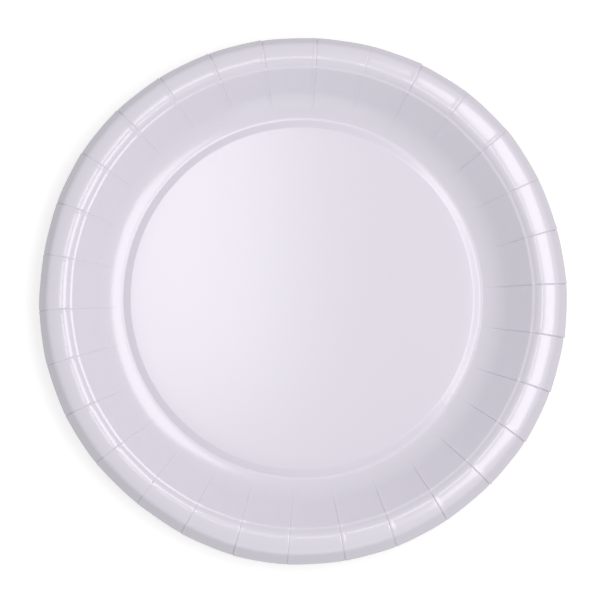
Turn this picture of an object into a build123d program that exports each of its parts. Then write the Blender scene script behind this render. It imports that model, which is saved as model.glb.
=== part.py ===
"""A round paper plate, pressed from one disc of coated board.

The plate stands on the table at z = 0 with its axis on Z.  Going outwards from the
axis, its board is a raised flat panel, a short step down to the foot ring, a hollow
sweep into the sloping wall, a narrow ledge, and a broad rim that turns down to the
cut edge.  Pressing a flat disc into this shape leaves spare board round the outside,
which is folded into thirty radial pleats.
"""
import os
from math import copysign, cos, radians, sin, tan

from build123d import *

# Overall sizes, in millimetres
outer_diameter = 230.0
depth = 18.3  # table to the top of the rim
board = 0.45  # thickness of the pressed board

# Panel, step and foot.  Radii and widths are those of the board's upper face,
# and slopes are in degrees above or below level.
panel_edge_radius = 1.3
step_height = 1.0  # how far the panel stands above the foot
step_slope = 18.0
foot_width = 0.9  # flat ring that the plate rests on
foot_radius = 1.0  # rounding on each side of that flat

# Wall
sweep_slope = 14.0  # where the sweep leaves the foot
sweep_radius = 25.0
wall_slope = 45.0
shoulder_radius = 1.6
ledge_slope = 9.0
ledge_width = 0.5

# Rim
riser_radius = 0.9  # hollow corner between the ledge and the riser
riser_slope = 40.0
riser_width = 0.5
crown_inner_radius = 4.8
crown_outer_radius = 17.0
crown_slope = 18.0  # where the crown meets the bend
bend_radius = 4.0
skirt_slope = 52.0
skirt_width = 3.4

# Pleats
pleat_count = 30
pleat_phase = 3.0  # degrees from +X to the first pleat
pleat_reach = 30.0  # from the outer edge in towards the panel
fold_height = 0.3  # how far the folded board stands out of the underside
fold_width_inner = 0.3
fold_width_outer = 1.2
crease_width = 0.25  # line that each fold leaves in the upper face
crease_depth = 0.15
clear = 1.0  # how far a cutting shape runs past the board


def arc_width(radius, start_slope, end_slope):
    """How far an arc runs outwards while it turns from one slope to another."""
    return radius * abs(sin(radians(end_slope)) - sin(radians(start_slope)))


def arc_rise(radius, start_slope, end_slope):
    """How far an arc climbs while it turns from one slope to another."""
    turned = cos(radians(start_slope)) - cos(radians(end_slope))
    return copysign(radius, end_slope - start_slope) * turned


def path_size(bends, start_slope=0.0):
    """The width and the rise of a run of bends and the straight stretches after them."""
    width = 0.0
    rise = 0.0
    slope = start_slope
    for radius, new_slope, straight in bends:
        width += arc_width(radius, slope, new_slope) + straight
        rise += arc_rise(radius, slope, new_slope) + straight * tan(radians(new_slope))
        slope = new_slope
    return width, rise


# Each bend is its radius, the slope that the board leaves it at, and the width of the
# straight stretch that follows.  The step's stretch makes up the panel's height over
# the foot, and the wall's makes up the depth of the plate.
step_bends = [(panel_edge_radius, -step_slope, 0.0), (foot_radius, 0.0, 0.0)]
step_straight = (step_height + path_size(step_bends)[1]) / tan(radians(step_slope))

foot_bends = [(foot_radius, sweep_slope, 0.0)]
wall_bends = [(sweep_radius, wall_slope, 0.0)]
crown_bends = [
    (shoulder_radius, ledge_slope, ledge_width),
    (riser_radius, riser_slope, riser_width),
    (crown_inner_radius, 0.0, 0.0),
]
rise_without_wall = (
    path_size(foot_bends)[1]
    + path_size(wall_bends, sweep_slope)[1]
    + path_size(crown_bends, wall_slope)[1]
)
wall_straight = (depth - board - rise_without_wall) / tan(radians(wall_slope))

bends = [
    (panel_edge_radius, -step_slope, step_straight),
    (foot_radius, 0.0, foot_width),
    *foot_bends,
    (sweep_radius, wall_slope, wall_straight),
    *crown_bends,
    (crown_outer_radius, -crown_slope, 0.0),
    (bend_radius, -skirt_slope, skirt_width),
]
outer_radius = outer_diameter / 2
panel_radius = outer_radius - path_size(bends)[0]
panel_level = board + step_height


def draw_face(setback, overrun=0.0):
    """Draw the board's line at a setback below its upper face, and return its end."""
    level = panel_level - setback
    run = Line((0, level), (panel_radius, level))
    slope = 0.0
    for radius, new_slope, straight in bends:
        turn = new_slope - slope
        slope = new_slope
        run = JernArc(run @ 1, run % 1, radius + copysign(setback, turn), turn)
        if straight:
            run = PolarLine(run @ 1, straight, slope, length_mode=LengthMode.HORIZONTAL)
    if overrun:
        run = PolarLine(run @ 1, overrun, slope, length_mode=LengthMode.HORIZONTAL)
    return run @ 1


def board_layer(upper, lower, overrun=0.0):
    """The section of the board between two setbacks below its upper face."""
    with BuildSketch(Plane.XZ) as layer:
        with BuildLine():
            upper_end = draw_face(upper, overrun)
            lower_end = draw_face(lower, overrun)
            Line(upper_end, lower_end)
            Line((0, panel_level - upper), (0, panel_level - lower))
        make_face()
    return layer.sketch


def pleat_plan(inner_width, outer_width):
    """The thirty pleats seen from above, each a strip that widens outwards."""
    inner = outer_radius - pleat_reach
    outer = outer_radius + clear
    with BuildSketch() as plan:
        with PolarLocations(0, pleat_count, start_angle=pleat_phase):
            Polygon(
                (inner, -inner_width / 2),
                (outer, -outer_width / 2),
                (outer, outer_width / 2),
                (inner, inner_width / 2),
                align=None,
            )
    return plan.sketch


os.makedirs("parts", exist_ok=True)

# The board folded under each pleat, from the middle of the board's thickness down
with BuildPart() as folds:
    revolve(board_layer(board / 2, board + fold_height))
    extrude(pleat_plan(fold_width_inner, fold_width_outer), amount=depth, mode=Mode.INTERSECT)

# The line that each pleat leaves in the upper face
with BuildPart() as creases:
    revolve(board_layer(-clear / 2, crease_depth, clear))
    extrude(pleat_plan(crease_width, crease_width), amount=depth + clear, mode=Mode.INTERSECT)

with BuildPart() as plate:
    revolve(board_layer(0.0, board))
    add(folds.part)
    add(creases.part, mode=Mode.SUBTRACT)

plate.part.label = "plate"
export_step(plate.part, "parts/plate.step")
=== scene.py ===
"""A pleated paper plate, seen from almost straight above on a plain pale table.

The board is spun from its section, like clay on a wheel, and then the thirty pleats
that take up the spare board are pressed into both of its faces.
"""
import math
import random

import bmesh
import bpy
from mathutils import Matrix, Vector


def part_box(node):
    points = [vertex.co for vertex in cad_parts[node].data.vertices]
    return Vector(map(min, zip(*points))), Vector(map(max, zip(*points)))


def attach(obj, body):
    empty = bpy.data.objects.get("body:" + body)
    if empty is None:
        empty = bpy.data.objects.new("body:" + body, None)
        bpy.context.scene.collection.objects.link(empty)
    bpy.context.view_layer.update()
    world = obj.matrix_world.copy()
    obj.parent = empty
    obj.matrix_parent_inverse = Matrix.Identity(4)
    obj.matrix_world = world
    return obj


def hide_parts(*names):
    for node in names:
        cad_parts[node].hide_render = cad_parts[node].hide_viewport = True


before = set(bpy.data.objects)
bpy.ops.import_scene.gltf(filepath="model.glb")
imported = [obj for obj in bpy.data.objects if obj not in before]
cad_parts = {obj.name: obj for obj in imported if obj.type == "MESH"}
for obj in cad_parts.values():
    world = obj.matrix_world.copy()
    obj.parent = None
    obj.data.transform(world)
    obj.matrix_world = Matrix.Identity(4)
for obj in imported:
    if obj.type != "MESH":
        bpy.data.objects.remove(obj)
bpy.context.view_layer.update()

MM = 0.001
low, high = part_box("plate")
OUTER_RADIUS = (high[0] - low[0]) / 2
DEPTH = high[2]

# The board and its section, as the plate was pressed.  Slopes are in degrees.
BOARD = 0.45 * MM
STEP_HEIGHT = 1.0 * MM
FOOT_WIDTH = 0.9 * MM
SWEEP_SLOPE = 14.0
WALL_SLOPE = 47.0
STEP_SLOPE = 18.0
FOOT_ROUND = 1.0 * MM

# The pleats
PLEATS = 30
PLEAT_PITCH = math.tau / PLEATS
FIRST_PLEAT = math.radians(3.0)
PLEAT_START = 82.0 * MM  # radius where a pleat first shows on the wall
PLEAT_WALL = 93.0 * MM  # radius where it has its full depth on the wall
RIM_START = 101.0 * MM
FOLD_REACH = 1.3 * MM  # width of the board folded under, at the rim
LAYER_STEP = 0.36 * MM  # height of the fold's edge over the board beside it
COLUMN_RADIUS = 105.0 * MM  # where the columns' distances from a pleat are measured
PIT_RADIUS = 101.9 * MM  # each pleat pulls a pit into the riser's foot
PIT_DEPTH = 0.22 * MM
KNOB_RADIUS = 99.9 * MM  # and lifts the ledge beside it
KNOB_HEIGHT = 0.13 * MM
CREASE_PLACE = -0.1 * MM  # the crease runs just beside the fold's edge
CREASE_HALF_WIDTH = 0.14 * MM
UNDER_SHARE = 0.9  # how much of the fold's step shows on the underside
PLEAT_SPREAD = 4.0 * MM  # how far round a pleat pushes the board sideways
STILL_RADIUS = 50.0 * MM  # the panel inside this stays as it was spun
CREASE_OPENS = 108.0 * MM  # radius where the creases begin to open towards the edge
CHORD_FLATTENING = 0.10 * MM  # the rim between two pleats is this much inside the circle
HINGE_DROP = 1.3 * MM  # the rim's panels hang from this far below the crown
OFF_CENTRE = (0.4 * MM, -0.8 * MM)  # the blank was pressed this far off its middle
random.seed(30)


# ---------------------------------------------------------------- the section

def arc_width(radius, start, end):
    """How far an arc runs outwards while it turns between two slopes."""
    return radius * abs(math.sin(math.radians(end)) - math.sin(math.radians(start)))


def arc_rise(radius, start, end):
    """How far an arc climbs while it turns between two slopes."""
    turned = math.cos(math.radians(start)) - math.cos(math.radians(end))
    return math.copysign(radius, end - start) * turned


def run_size(bends, start=0.0):
    """Width and rise of some bends and of the straight stretches after them."""
    width = 0.0
    rise = 0.0
    slope = start
    for radius, end, straight, _, _ in bends:
        width += arc_width(radius, slope, end) + straight
        rise += arc_rise(radius, slope, end) + straight * math.tan(math.radians(end))
        slope = end
    return width, rise


# Each bend: radius, slope it ends at, width of the straight stretch after it, and how
# many facets the arc and the stretch have.
PANEL_EDGE = (1.3 * MM, -STEP_SLOPE, 0.0, 4, 0)
FOOT_INNER = (FOOT_ROUND, 0.0, FOOT_WIDTH, 3, 1)
FOOT_OUTER = (FOOT_ROUND, SWEEP_SLOPE, 0.0, 2, 0)
SWEEP = (22.0 * MM, WALL_SLOPE, 0.0, 10, 0)
SHOULDER_TO_CROWN = [
    (1.3 * MM, 17.0, 0.5 * MM, 5, 1),
    (0.9 * MM, 40.0, 0.5 * MM, 4, 1),
    (4.8 * MM, 0.0, 0.0, 9, 0),
]
SKIRT_WIDTH = 3.4 * MM
SKIRT_SLOPE = 52.0
CROWN_TO_EDGE = [
    (17.0 * MM, -18.0, 0.0, 8, 0),
    (4.0 * MM, -SKIRT_SLOPE, SKIRT_WIDTH, 6, 6),
]
PANEL_RINGS = [0.0, 0.2, 0.4, 0.6, 0.8, 0.93]  # shares of the panel's radius


def section_bends():
    """All the bends from the panel to the cut edge, with the free stretches filled in."""
    foot_bend = [(FOOT_ROUND, 0.0, 0.0, 0, 0)]
    step_drop = -run_size([PANEL_EDGE])[1] - run_size(foot_bend, -STEP_SLOPE)[1]
    step_run = (STEP_HEIGHT - step_drop) / math.tan(math.radians(STEP_SLOPE))
    climbed = run_size([FOOT_OUTER, SWEEP])[1] + run_size(SHOULDER_TO_CROWN, WALL_SLOPE)[1]
    wall_run = (DEPTH - BOARD - climbed) / math.tan(math.radians(WALL_SLOPE))
    return [
        (PANEL_EDGE[0], PANEL_EDGE[1], step_run, PANEL_EDGE[3], 3),
        FOOT_INNER,
        FOOT_OUTER,
        (SWEEP[0], SWEEP[1], wall_run, SWEEP[3], 9),
        *SHOULDER_TO_CROWN,
        *CROWN_TO_EDGE,
    ]


def board_line():
    """Stations along the board's upper face, each its radius, height and slope."""
    bends = section_bends()
    panel_radius = OUTER_RADIUS - run_size(bends)[0]
    radius_now = panel_radius
    height_now = BOARD + STEP_HEIGHT
    stations = [(share * panel_radius, height_now, 0.0) for share in PANEL_RINGS]
    stations.append((panel_radius, height_now, 0.0))
    slope = 0.0
    for bend, end, straight, arc_facets, straight_facets in bends:
        for facet in range(1, arc_facets + 1):
            now = slope + (end - slope) * facet / arc_facets
            radius = radius_now + arc_width(bend, slope, now)
            height = height_now + arc_rise(bend, slope, now)
            stations.append((radius, height, math.radians(now)))
        radius_now += arc_width(bend, slope, end)
        height_now += arc_rise(bend, slope, end)
        slope = end
        for facet in range(1, straight_facets + 1):
            along = straight * facet / straight_facets
            rise = along * math.tan(math.radians(slope))
            stations.append((radius_now + along, height_now + rise, math.radians(slope)))
        radius_now += straight
        height_now += straight * math.tan(math.radians(slope))
    return stations


# ---------------------------------------------------------------- how pleats are pressed

# Distances of the mesh's columns from a pleat's line, in mm at the rim, going round.
COLUMNS = [-8.0, -5.0, -2.8, -1.5, -0.75, -0.35, -0.15, -0.05, 0.05, 0.15, 0.4, 0.8,
           1.15, 1.3, 1.5, 1.9, 2.8, 4.8, 8.0]

# How strongly each pleat shows, going round from +X
STRENGTHS = [1.0, 1.0, 0.7, 0.9, 0.6, 0.9, 0.4, 0.8, 0.7, 0.8, 0.7, 0.8, 0.6, 0.8, 0.6,
             0.9, 0.7, 0.8, 0.7, 0.5, 0.5, 0.5, 0.4, 0.7, 0.8, 0.9, 1.0, 1.0, 1.0, 1.0]


def smooth_ramp(value, start, end):
    """0 before start, 1 after end, and an even S between them."""
    share = min(max((value - start) / (end - start), 0.0), 1.0)
    return share * share * (3 - 2 * share)


def make_pleats():
    """What differs from pleat to pleat, and from panel to panel between them."""
    pleats = []
    for index in range(PLEATS):
        pleats.append({
            "strength": STRENGTHS[index],
            "shift": random.uniform(-0.45, 0.45) * MM,
            "lean": random.uniform(-0.05, 0.05),
            "reach": random.uniform(-3.0, 3.0) * MM,
            "width": random.uniform(0.85, 1.25),
            "hang_before": math.radians(random.uniform(-1.5, 1.5)),
            "hang_after": math.radians(random.uniform(-1.5, 1.5)),
        })
    return pleats


def upper_press(offset, width):
    """Height of the upper face beside a pleat, as a share of the fold's step."""
    if offset < 0:
        return -0.30 * math.exp(offset / (0.7 * MM))
    if offset < width:
        return 0.75 - 0.35 * offset / width
    past = width - offset
    return 0.12 * math.exp(past / (1.8 * MM)) + 0.28 * math.exp(past / (0.25 * MM))


def dent(away, half_width):
    """A soft round dent or bump, 1 at its middle."""
    return math.exp(-(away / half_width) ** 2)


def lower_press(offset, width):
    """Depth of the folded board on the underside, as a share of the fold's step."""
    if offset > width:
        return 0.0
    return math.exp((offset - width) / (2.2 * MM))


# Where the rim stands out (+) or is pushed in (-): direction, amount and half-width
BULGES = [(40, 0.8, 20), (88, -0.7, 18), (142, 0.7, 15), (172, -0.5, 10),
          (232, -0.7, 13), (262, 0.5, 12), (307, -0.5, 15)]


def bulge(angle):
    """How far the rim is out of round in one direction."""
    total = 0.0
    for direction, amount, half_width in BULGES:
        away = (math.degrees(angle) - direction + 180) % 360 - 180
        total += amount * MM * math.exp(-(away / half_width) ** 2)
    return total


def press(mesh, layers):
    """Move every vertex of the spun board to where pressing left it."""
    ring_layer, slope_layer, side_layer = layers
    pleats = make_pleats()
    hinge_height = DEPTH - HINGE_DROP
    skirt_start = OUTER_RADIUS - SKIRT_WIDTH
    spun_step = math.tau / (PLEATS * len(COLUMNS))
    for vert in mesh.verts:
        radius = math.hypot(vert.co.x, vert.co.y)
        if radius < 1.0 * MM:
            continue
        ring = vert[ring_layer]
        slope = vert[slope_layer]
        upper = vert[side_layer] > 0
        height = vert.co.z
        index, place = divmod(round(math.atan2(vert.co.y, vert.co.x) / spun_step), len(COLUMNS))
        index %= PLEATS
        column = COLUMNS[place] * MM
        pleat = pleats[index]
        near = dent(column, PLEAT_SPREAD) * smooth_ramp(ring, STILL_RADIUS, PLEAT_START)

        # Follow the pleat's own line: it leans a little, and its fold widens outwards
        spread = smooth_ramp(ring, PLEAT_START, OUTER_RADIUS)
        width = FOLD_REACH * pleat["width"] * (0.35 + 0.65 * spread)
        offset = column * radius / COLUMN_RADIUS
        if column > 0:
            closing = min(column / FOLD_REACH, 1.0) * near
            offset -= (FOLD_REACH - width) * closing
        sideways = (pleat["shift"] + pleat["lean"] * (ring - COLUMN_RADIUS)) * near
        angle = FIRST_PLEAT + index * PLEAT_PITCH + (offset + sideways) / radius

        # Pleat depth: none at the foot, part on the wall, full on the rim
        start = PLEAT_START + pleat["reach"]
        on_wall = smooth_ramp(ring, start, PLEAT_WALL + pleat["reach"])
        on_rim = smooth_ramp(ring, RIM_START, RIM_START + 1.5 * MM)
        depth = LAYER_STEP * pleat["strength"] * on_wall * (0.7 + 0.3 * on_rim)
        if upper:
            opening = 0.75 + 0.75 * smooth_ramp(ring, CREASE_OPENS, OUTER_RADIUS)
            crease = opening * dent(offset - CREASE_PLACE, CREASE_HALF_WIDTH)
            pit = dent(ring - PIT_RADIUS, 0.8 * MM) * dent(offset - 0.3 * MM, 0.9 * MM)
            knob = dent(ring - KNOB_RADIUS, 0.45 * MM) * dent(offset - 0.3 * MM, 0.8 * MM)
            lift = depth * (upper_press(offset, width) - crease)
            lift += pleat["strength"] * (KNOB_HEIGHT * knob - PIT_DEPTH * pit)
        else:
            lift = -UNDER_SHARE * depth * lower_press(offset, width)

        # The panels between pleats are flatter than the circle, and each hangs its own way
        along = abs(column) / (PLEAT_PITCH * COLUMN_RADIUS / 2)
        flat = CHORD_FLATTENING * smooth_ramp(ring, PLEAT_WALL, RIM_START) * along * along * (2 - along)
        side = pleat["hang_after"] if column > 0 else pleat["hang_before"]
        other = pleats[(index + (1 if column > 0 else -1)) % PLEATS]
        far = other["hang_before"] if column > 0 else other["hang_after"]
        hang = side + (far - side) * along / 2
        hang *= pleat["strength"] * smooth_ramp(ring, RIM_START, RIM_START + 5 * MM)
        out = hang * (height - hinge_height)
        down = -hang * (ring - RIM_START)

        # Out of round, and trimmed a little off centre
        on_skirt = smooth_ramp(ring, RIM_START, OUTER_RADIUS)
        out += bulge(angle) * on_skirt - flat
        off_centre = OFF_CENTRE[0] * math.cos(angle) + OFF_CENTRE[1] * math.sin(angle)
        trimmed = off_centre * max(ring - skirt_start, 0.0) / SKIRT_WIDTH
        out += trimmed
        down -= trimmed * math.tan(math.radians(SKIRT_SLOPE))

        radius += lift * -math.sin(slope) + out
        height += lift * math.cos(slope) + down
        vert.co = Vector((radius * math.cos(angle), radius * math.sin(angle), height))


# ---------------------------------------------------------------- the plate

def spin_board(mesh):
    """Spin the section all the way round, with as many columns as the pleats need."""
    layers = [mesh.verts.layers.float.new(name) for name in ("ring", "slope", "side")]
    stations = board_line()
    outline = []
    for side in (1.0, -1.0):
        set_back = 0.0 if side > 0 else BOARD
        for radius, height, slope in stations if side > 0 else reversed(stations):
            x = radius + set_back * math.sin(slope)
            z = height - set_back * math.cos(slope)
            vert = mesh.verts.new((x, 0.0, z))
            for layer, value in zip(layers, (radius, slope, side)):
                vert[layer] = value
            outline.append(vert)
    section = [mesh.edges.new(pair) for pair in zip(outline, outline[1:])]
    bmesh.ops.spin(mesh, geom=outline + section, cent=(0, 0, 0), axis=(0, 0, 1), angle=math.tau,
                   steps=PLEATS * len(COLUMNS), use_merge=True)
    bmesh.ops.remove_doubles(mesh, verts=mesh.verts, dist=0.01 * MM)
    return layers


def make_plate():
    """The whole plate, with its coated face, bare underside and cut edge."""
    mesh = bmesh.new()
    layers = spin_board(mesh)
    side_layer = layers[-1]
    for face in mesh.faces:
        sides = {vert[side_layer] > 0 for vert in face.verts}
        face.material_index = 2 if len(sides) == 2 else (0 if True in sides else 1)
        face.smooth = True
    for edge in mesh.edges:
        if len({face.material_index for face in edge.link_faces}) > 1:
            edge.smooth = False
    press(mesh, layers)
    bmesh.ops.recalc_face_normals(mesh, faces=mesh.faces)
    data = bpy.data.meshes.new("pressed_plate")
    mesh.to_mesh(data)
    mesh.free()
    for material in (coated_board(), bare_board(), cut_board()):
        data.materials.append(material)
    plate = bpy.data.objects.new("pressed_plate", data)
    bpy.context.collection.objects.link(plate)
    return plate


# ---------------------------------------------------------------- materials

def new_material(name, colour, roughness):
    """A plain board material, and its shader."""
    material = bpy.data.materials.new(name)
    material.use_nodes = True
    shader = material.node_tree.nodes["Principled BSDF"]
    shader.inputs["Base Color"].default_value = (*colour, 1.0)
    shader.inputs["Roughness"].default_value = roughness
    return material, shader


def coated_board():
    """Smooth coated board with a satin shine."""
    material, shader = new_material("coated_board", (0.72, 0.697, 0.775), 0.2)
    shader.inputs["IOR"].default_value = 1.6
    shader.inputs["Specular IOR Level"].default_value = 0.85
    return material


def bare_board():
    """The uncoated back of the board, which is matt."""
    return new_material("bare_board", (0.74, 0.72, 0.77), 0.8)[0]


def cut_board():
    """The board's cut edge."""
    return new_material("cut_board", (0.66, 0.64, 0.68), 0.9)[0]


# ---------------------------------------------------------------- table, light and camera

def make_table():
    """A plain white table, wide enough to fill every view."""
    mesh = bmesh.new()
    bmesh.ops.create_grid(mesh, x_segments=1, y_segments=1, size=6.0)
    data = bpy.data.meshes.new("table")
    mesh.to_mesh(data)
    mesh.free()
    table = bpy.data.objects.new("table", data)
    table.location.z = -0.02 * MM
    bpy.context.collection.objects.link(table)
    material = bpy.data.materials.new("table_white")
    material.use_nodes = True
    nodes = material.node_tree.nodes
    links = material.node_tree.links
    shader = nodes["Principled BSDF"]
    shader.inputs["Base Color"].default_value = (0.5, 0.5, 0.5, 1.0)
    shader.inputs["Roughness"].default_value = 0.9
    shader.inputs["Emission Color"].default_value = (1.0, 1.0, 1.0, 1.0)
    path = nodes.new("ShaderNodeLightPath")
    seen = nodes.new("ShaderNodeMath")
    seen.operation = "MULTIPLY"
    seen.inputs[1].default_value = 0.62
    links.new(path.outputs["Is Camera Ray"], seen.inputs[0])
    links.new(seen.outputs[0], shader.inputs["Emission Strength"])
    data.materials.append(material)


def facing(direction):
    """The turn of a camera or light placed in a direction from the plate and facing it."""
    side = Vector((0, 1, 0)).cross(direction).normalized()
    return Matrix((side, direction.cross(side), direction)).transposed().to_euler()


def add_soft_light(name, azimuth, tilt, distance, size, level, colour):
    """A soft box facing the plate, from an azimuth and an angle off the vertical.

    Its size is across and along its own tilt, and its level is its brightness.
    """
    data = bpy.data.lights.new(name, "AREA")
    data.shape = "RECTANGLE"
    data.size, data.size_y = size
    data.energy = 4 * size[0] * size[1] * level
    data.color = colour
    light = bpy.data.objects.new(name, data)
    around = math.radians(azimuth)
    off = math.radians(tilt)
    level_part = math.sin(off)
    direction = Vector((level_part * math.cos(around), level_part * math.sin(around), math.cos(off)))
    light.location = direction * distance
    light.rotation_euler = facing(direction)
    bpy.context.collection.objects.link(light)


def light_studio():
    """Even fill from all round, a soft key from the right and a wide one overhead."""
    world = bpy.data.worlds.new("studio")
    bpy.context.scene.world = world
    world.use_nodes = True
    nodes = world.node_tree.nodes
    links = world.node_tree.links
    background = nodes["Background"]
    background.inputs["Color"].default_value = (1.0, 1.0, 1.0, 1.0)
    path = nodes.new("ShaderNodeLightPath")
    level = nodes.new("ShaderNodeMapRange")
    level.inputs["To Min"].default_value = 0.62
    level.inputs["To Max"].default_value = 1.0
    links.new(path.outputs["Is Camera Ray"], level.inputs["Value"])
    links.new(level.outputs["Result"], background.inputs["Strength"])
    add_soft_light("key", 12.0, 28.5, 1.6, (0.85, 1.6), 1.95, (1.0, 0.95, 0.97))
    add_soft_light("overhead", 128.0, 7.5, 1.9, (0.32, 0.6), 2.4, (1.0, 0.97, 0.97))
    add_soft_light("front_fill", -90.0, 60.0, 1.8, (1.2, 1.2), 0.25, (1.0, 1.0, 1.0))


def place_camera():
    """Almost straight above the plate, leaning a little towards the front left."""
    data = bpy.data.cameras.new("camera")
    data.sensor_width = 36.0
    data.lens = 111.1
    camera = bpy.data.objects.new("camera", data)
    aim = Vector((-1.3 * MM, -1.6 * MM, DEPTH))
    lean = Vector((math.sin(math.radians(-1.1)), math.sin(math.radians(-2.4)), 1.0)).normalized()
    camera.location = aim + lean * 0.80
    camera.rotation_euler = facing(lean)
    bpy.context.collection.objects.link(camera)
    bpy.context.scene.camera = camera


plate = make_plate()
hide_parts("plate")
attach(plate, "root")
make_table()
light_studio()
place_camera()

bpy.context.scene.view_settings.view_transform = "Standard"
bpy.context.view_layer.update()
